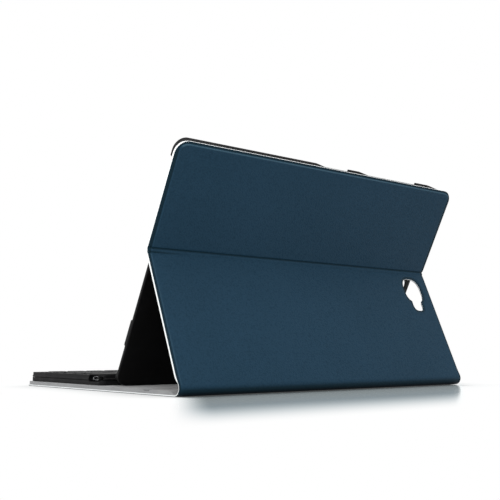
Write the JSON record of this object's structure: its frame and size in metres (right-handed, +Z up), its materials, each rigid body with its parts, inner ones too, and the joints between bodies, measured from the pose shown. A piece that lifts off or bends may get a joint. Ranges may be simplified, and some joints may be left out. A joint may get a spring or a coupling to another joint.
{
  "type": "tablet keyboard case",
  "caption": "Folding leather folio that stands a tablet in a snap-in shell behind a slim wireless keyboard; its back opens out flat and the keyboard lifts off.",
  "frame": {"origin": "on the table, under the middle of the standing case", "axes": "+X to the user's right, +Y away from the user towards the rear fold, +Z up"},
  "size_m": [0.262, 0.2006, 0.1553],
  "materials": {
    "navy_leather": "fine-grained navy artificial leather",
    "stiff_board": "grey stiffener board",
    "grey_lining": "brushed grey microfibre",
    "black_shell": "fine moulded black plastic",
    "black_housing": "satin black plastic",
    "black_key": "matt black key plastic",
    "bright_metal": "plated steel",
    "silver_wrap": "foil-wrapped cell",
    "green_board": "solder-masked board",
    "grey_rubber": "soft grey rubber",
    "clear_lens": "frosted lens"
  },
  "bodies": {
    "folio_base": {"front_cover_skin": "navy_leather", "front_cover_board": "stiff_board", "front_cover_lining": "grey_lining", "front_fold_strip": "navy_leather", "spine_skin": "navy_leather", "spine_board": "stiff_board", "spine_lining": "grey_lining", "rear_fold_strip": "navy_leather", "cover_magnet_left": "bright_metal", "cover_magnet_right": "bright_metal"},
    "kickstand": {"kickstand_skin": "navy_leather", "kickstand_board": "stiff_board", "kickstand_lining": "grey_lining", "middle_fold_strip": "navy_leather"},
    "tablet_back": {"upper_back_skin": "navy_leather", "upper_back_board": "stiff_board", "upper_back_pad": "grey_rubber", "tablet_shell": "black_shell"},
    "keyboard": {"keyboard_base": "black_housing", "keyboard_deck": "black_housing", "key_membrane": "grey_rubber", "keyboard_steel_strip": "bright_metal", "battery_cell": "silver_wrap", "control_board": "green_board", "charge_port": "bright_metal", "status_light": "clear_lens"},
    "power_switch": {"power_switch": "black_key"},
    "connect_button": {"connect_button": "black_key"},
    "key_a": {"key_a": "black_key"},
    "key_b": {"key_b": "black_key"},
    "key_backspace": {"key_backspace": "black_key"},
    "key_c": {"key_c": "black_key"},
    "key_d": {"key_d": "black_key"},
    "key_e": {"key_e": "black_key"},
    "key_enter": {"key_enter": "black_key"},
    "key_f": {"key_f": "black_key"},
    "key_g": {"key_g": "black_key"},
    "key_h": {"key_h": "black_key"},
    "key_i": {"key_i": "black_key"},
    "key_j": {"key_j": "black_key"},
    "key_k": {"key_k": "black_key"},
    "key_l": {"key_l": "black_key"},
    "key_m": {"key_m": "black_key"},
    "key_n": {"key_n": "black_key"},
    "key_o": {"key_o": "black_key"},
    "key_p": {"key_p": "black_key"},
    "key_q": {"key_q": "black_key"},
    "key_r": {"key_r": "black_key"},
    "key_s": {"key_s": "black_key"},
    "key_shift_left": {"key_shift_left": "black_key"},
    "key_shift_right": {"key_shift_right": "black_key"},
    "key_space": {"key_space": "black_key"},
    "key_t": {"key_t": "black_key"},
    "key_tab": {"key_tab": "black_key"},
    "key_u": {"key_u": "black_key"},
    "key_v": {"key_v": "black_key"},
    "key_w": {"key_w": "black_key"},
    "key_x": {"key_x": "black_key"},
    "key_y": {"key_y": "black_key"},
    "key_z": {"key_z": "black_key"}
  },
  "joints": [
    {"name": "back_fold", "type": "hinge", "parent": "folio_base", "child": "kickstand", "pos_m": [0, 0.09943, 0.00224], "axis": [-1, 0, 0], "range_deg": [0, 113], "deforming": ["rear_fold_strip"]},
    {"name": "back_middle_fold", "type": "hinge", "parent": "kickstand", "child": "tablet_back", "pos_m": [0, 0.06594, 0.08688], "axis": [1, 0, 0], "range_deg": [0, 50], "deforming": ["middle_fold_strip"]},
    {"name": "board_connect", "type": "slide", "parent": "keyboard", "child": "connect_button", "axis": [0, 0, -1], "range_m": [0, 0.0006], "stiffness_N_per_m": 200},
    {"name": "board_lift", "type": "slide", "parent": "folio_base", "child": "keyboard", "axis": [0, 0, 1], "range_m": [0, 0.03]},
    {"name": "board_power", "type": "slide", "parent": "keyboard", "child": "power_switch", "axis": [0, 1, 0], "range_m": [0, 0.0025]},
    {"name": "key_a", "type": "slide", "parent": "keyboard", "child": "key_a", "axis": [0, 0, -1], "range_m": [0, 0.0013], "stiffness_N_per_m": 200},
    {"name": "key_b", "type": "slide", "parent": "keyboard", "child": "key_b", "axis": [0, 0, -1], "range_m": [0, 0.0013], "stiffness_N_per_m": 200},
    {"name": "key_backspace", "type": "slide", "parent": "keyboard", "child": "key_backspace", "axis": [0, 0, -1], "range_m": [0, 0.0013], "stiffness_N_per_m": 200},
    {"name": "key_c", "type": "slide", "parent": "keyboard", "child": "key_c", "axis": [0, 0, -1], "range_m": [0, 0.0013], "stiffness_N_per_m": 200},
    {"name": "key_d", "type": "slide", "parent": "keyboard", "child": "key_d", "axis": [0, 0, -1], "range_m": [0, 0.0013], "stiffness_N_per_m": 200},
    {"name": "key_e", "type": "slide", "parent": "keyboard", "child": "key_e", "axis": [0, 0, -1], "range_m": [0, 0.0013], "stiffness_N_per_m": 200},
    {"name": "key_enter", "type": "slide", "parent": "keyboard", "child": "key_enter", "axis": [0, 0, -1], "range_m": [0, 0.0013], "stiffness_N_per_m": 200},
    {"name": "key_f", "type": "slide", "parent": "keyboard", "child": "key_f", "axis": [0, 0, -1], "range_m": [0, 0.0013], "stiffness_N_per_m": 200},
    {"name": "key_g", "type": "slide", "parent": "keyboard", "child": "key_g", "axis": [0, 0, -1], "range_m": [0, 0.0013], "stiffness_N_per_m": 200},
    {"name": "key_h", "type": "slide", "parent": "keyboard", "child": "key_h", "axis": [0, 0, -1], "range_m": [0, 0.0013], "stiffness_N_per_m": 200},
    {"name": "key_i", "type": "slide", "parent": "keyboard", "child": "key_i", "axis": [0, 0, -1], "range_m": [0, 0.0013], "stiffness_N_per_m": 200},
    {"name": "key_j", "type": "slide", "parent": "keyboard", "child": "key_j", "axis": [0, 0, -1], "range_m": [0, 0.0013], "stiffness_N_per_m": 200},
    {"name": "key_k", "type": "slide", "parent": "keyboard", "child": "key_k", "axis": [0, 0, -1], "range_m": [0, 0.0013], "stiffness_N_per_m": 200},
    {"name": "key_l", "type": "slide", "parent": "keyboard", "child": "key_l", "axis": [0, 0, -1], "range_m": [0, 0.0013], "stiffness_N_per_m": 200},
    {"name": "key_m", "type": "slide", "parent": "keyboard", "child": "key_m", "axis": [0, 0, -1], "range_m": [0, 0.0013], "stiffness_N_per_m": 200},
    {"name": "key_n", "type": "slide", "parent": "keyboard", "child": "key_n", "axis": [0, 0, -1], "range_m": [0, 0.0013], "stiffness_N_per_m": 200},
    {"name": "key_o", "type": "slide", "parent": "keyboard", "child": "key_o", "axis": [0, 0, -1], "range_m": [0, 0.0013], "stiffness_N_per_m": 200},
    {"name": "key_p", "type": "slide", "parent": "keyboard", "child": "key_p", "axis": [0, 0, -1], "range_m": [0, 0.0013], "stiffness_N_per_m": 200},
    {"name": "key_q", "type": "slide", "parent": "keyboard", "child": "key_q", "axis": [0, 0, -1], "range_m": [0, 0.0013], "stiffness_N_per_m": 200},
    {"name": "key_r", "type": "slide", "parent": "keyboard", "child": "key_r", "axis": [0, 0, -1], "range_m": [0, 0.0013], "stiffness_N_per_m": 200},
    {"name": "key_s", "type": "slide", "parent": "keyboard", "child": "key_s", "axis": [0, 0, -1], "range_m": [0, 0.0013], "stiffness_N_per_m": 200},
    {"name": "key_shift_left", "type": "slide", "parent": "keyboard", "child": "key_shift_left", "axis": [0, 0, -1], "range_m": [0, 0.0013], "stiffness_N_per_m": 200},
    {"name": "key_shift_right", "type": "slide", "parent": "keyboard", "child": "key_shift_right", "axis": [0, 0, -1], "range_m": [0, 0.0013], "stiffness_N_per_m": 200},
    {"name": "key_space", "type": "slide", "parent": "keyboard", "child": "key_space", "axis": [0, 0, -1], "range_m": [0, 0.0013], "stiffness_N_per_m": 200},
    {"name": "key_t", "type": "slide", "parent": "keyboard", "child": "key_t", "axis": [0, 0, -1], "range_m": [0, 0.0013], "stiffness_N_per_m": 200},
    {"name": "key_tab", "type": "slide", "parent": "keyboard", "child": "key_tab", "axis": [0, 0, -1], "range_m": [0, 0.0013], "stiffness_N_per_m": 200},
    {"name": "key_u", "type": "slide", "parent": "keyboard", "child": "key_u", "axis": [0, 0, -1], "range_m": [0, 0.0013], "stiffness_N_per_m": 200},
    {"name": "key_v", "type": "slide", "parent": "keyboard", "child": "key_v", "axis": [0, 0, -1], "range_m": [0, 0.0013], "stiffness_N_per_m": 200},
    {"name": "key_w", "type": "slide", "parent": "keyboard", "child": "key_w", "axis": [0, 0, -1], "range_m": [0, 0.0013], "stiffness_N_per_m": 200},
    {"name": "key_x", "type": "slide", "parent": "keyboard", "child": "key_x", "axis": [0, 0, -1], "range_m": [0, 0.0013], "stiffness_N_per_m": 200},
    {"name": "key_y", "type": "slide", "parent": "keyboard", "child": "key_y", "axis": [0, 0, -1], "range_m": [0, 0.0013], "stiffness_N_per_m": 200},
    {"name": "key_z", "type": "slide", "parent": "keyboard", "child": "key_z", "axis": [0, 0, -1], "range_m": [0, 0.0013], "stiffness_N_per_m": 200}
  ],
  "couplings": [
    {"joint": "back_middle_fold", "follows": "back_fold", "ratio": 0.44248}
  ]
}
